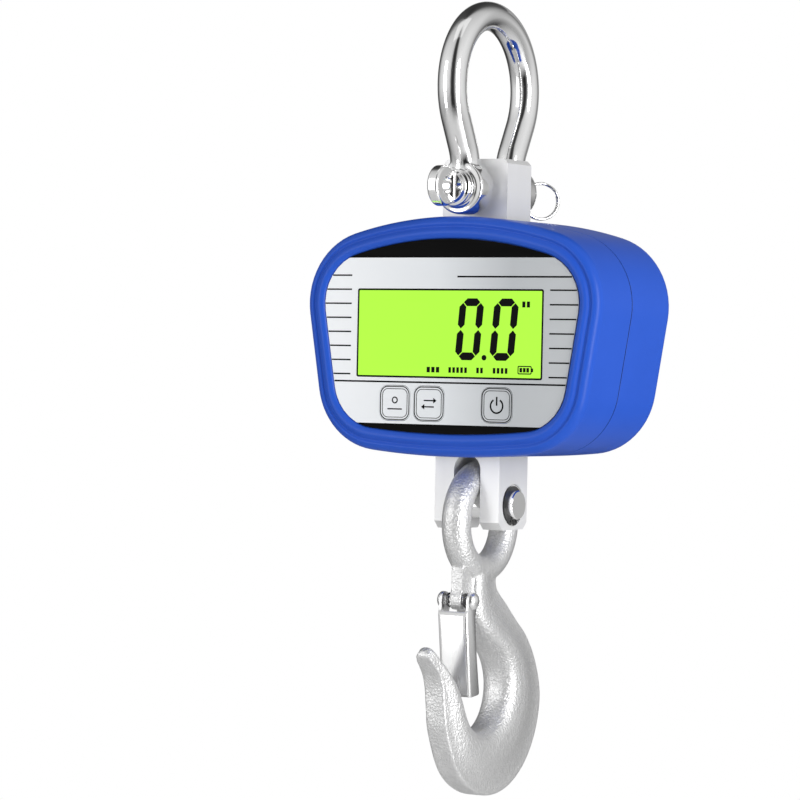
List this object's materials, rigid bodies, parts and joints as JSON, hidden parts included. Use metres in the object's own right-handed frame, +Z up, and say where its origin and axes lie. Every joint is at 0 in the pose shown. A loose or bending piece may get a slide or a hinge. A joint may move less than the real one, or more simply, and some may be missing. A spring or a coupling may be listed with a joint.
{
  "type": "crane scale",
  "caption": "Hanging crane scale with a bow shackle above, a load-cell bar through a display housing, and an eye hook with a sprung latch below.",
  "frame": {"origin": "the seat inside the crown of the shackle bow, where the lifting hook bears", "axes": "+Z up along the line of pull, display faces -Y, +X to the right seen from the display side"},
  "size_m": [0.1834, 0.12, 0.436],
  "materials": {
    "polished_steel": "polished stainless steel",
    "plated_bar": "satin nickel-plated alloy steel",
    "dark_steel": "oiled steel",
    "zinc_steel": "bright zinc-plated steel",
    "galvanised": "matte galvanised forging",
    "blue_shell": "satin-gloss blue housing",
    "black_rubber": "soft matte rubber",
    "silver_panel": "printed silver overlay",
    "display_lens": "clear window over the lit display",
    "lcd_glass": "lit display glass",
    "black_plastic": "moulded black plastic",
    "white_plastic": "moulded white plastic",
    "board_green": "solder-masked board",
    "battery_wrap": "shrink-wrapped cells",
    "cable_grey": "grey cable jacket",
    "cable_red": "red lead insulation"
  },
  "bodies": {
    "shackle": {"shackle_bow": "polished_steel"},
    "screw_pin": {"shackle_pin": "polished_steel"},
    "split_ring": {"pin_ring": "polished_steel"},
    "scale": {"load_cell": "plated_bar", "gauge_covers": "dark_steel", "front_shell": "blue_shell", "rear_shell": "blue_shell", "case_gasket": "black_rubber", "case_screws": "dark_steel", "cell_brackets": "dark_steel", "bracket_bolts": "zinc_steel", "top_seal": "black_rubber", "bottom_seal": "black_rubber", "face_panel": "silver_panel", "display_window": "display_lens", "lcd_glass": "lcd_glass", "lcd_frame": "black_plastic", "backlight": "white_plastic", "main_board": "board_green", "board_posts": "white_plastic", "board_screws": "zinc_steel", "processor_chip": "black_plastic", "adc_chip": "black_plastic", "cell_connector": "white_plastic", "key_domes": "zinc_steel", "ir_receiver": "black_plastic", "buzzer": "black_plastic", "battery_pack": "battery_wrap", "battery_cradle": "black_plastic", "battery_cover": "blue_shell", "cover_gasket": "black_rubber", "cover_screws": "zinc_steel", "charge_socket": "black_plastic", "socket_nut": "zinc_steel", "cell_cable": "cable_grey", "battery_lead": "cable_red", "hook_pin": "polished_steel", "circlips": "dark_steel"},
    "hook": {"hook": "galvanised", "latch_pin": "zinc_steel", "latch_spring": "dark_steel"},
    "latch": {"latch": "zinc_steel"},
    "tare_key": {"key_tare": "silver_panel"},
    "hold_key": {"key_hold": "silver_panel"},
    "power_key": {"key_power": "silver_panel"},
    "socket_cap": {"socket_cap": "black_rubber"}
  },
  "joints": [
    {"name": "scale_swing", "type": "hinge", "parent": "shackle", "child": "scale", "pos_m": [0, 0, -0.0875], "axis": [0, 1, 0], "range_deg": [-90, 90]},
    {"name": "screw_pin_turn", "type": "hinge", "parent": "shackle", "child": "screw_pin", "pos_m": [0, 0, -0.0875], "axis": [0, 1, 0], "range_deg": [0, 180]},
    {"name": "split_ring_swing", "type": "hinge", "parent": "screw_pin", "child": "split_ring", "pos_m": [0, 0.042, -0.0875], "axis": [0.2418, 0.2418, 0.9397], "range_deg": [-15, 15]},
    {"name": "hook_swing", "type": "hinge", "parent": "scale", "child": "hook", "pos_m": [0, 0, -0.2594], "axis": [1, 0, 0], "range_deg": [-40, 40]},
    {"name": "latch_open", "type": "hinge", "parent": "hook", "child": "latch", "pos_m": [0, -0.0223, -0.3115], "axis": [1, 0, 0], "range_deg": [0, 30], "stiffness_Nm_per_rad": 0.05, "springref_deg": -34.38},
    {"name": "tare_key_press", "type": "slide", "parent": "scale", "child": "tare_key", "axis": [0, 1, 0], "range_m": [0, 0.0006], "stiffness_N_per_m": 600, "springref_m": -0.0004},
    {"name": "hold_key_press", "type": "slide", "parent": "scale", "child": "hold_key", "axis": [0, 1, 0], "range_m": [0, 0.0006], "stiffness_N_per_m": 600, "springref_m": -0.0004},
    {"name": "power_key_press", "type": "slide", "parent": "scale", "child": "power_key", "axis": [0, 1, 0], "range_m": [0, 0.0006], "stiffness_N_per_m": 600, "springref_m": -0.0004},
    {"name": "socket_cap_open", "type": "hinge", "parent": "scale", "child": "socket_cap", "pos_m": [0.03, 0.0479, -0.209], "axis": [1, 0, 0], "range_deg": [0, 120], "stiffness_Nm_per_rad": 0.004}
  ]
}
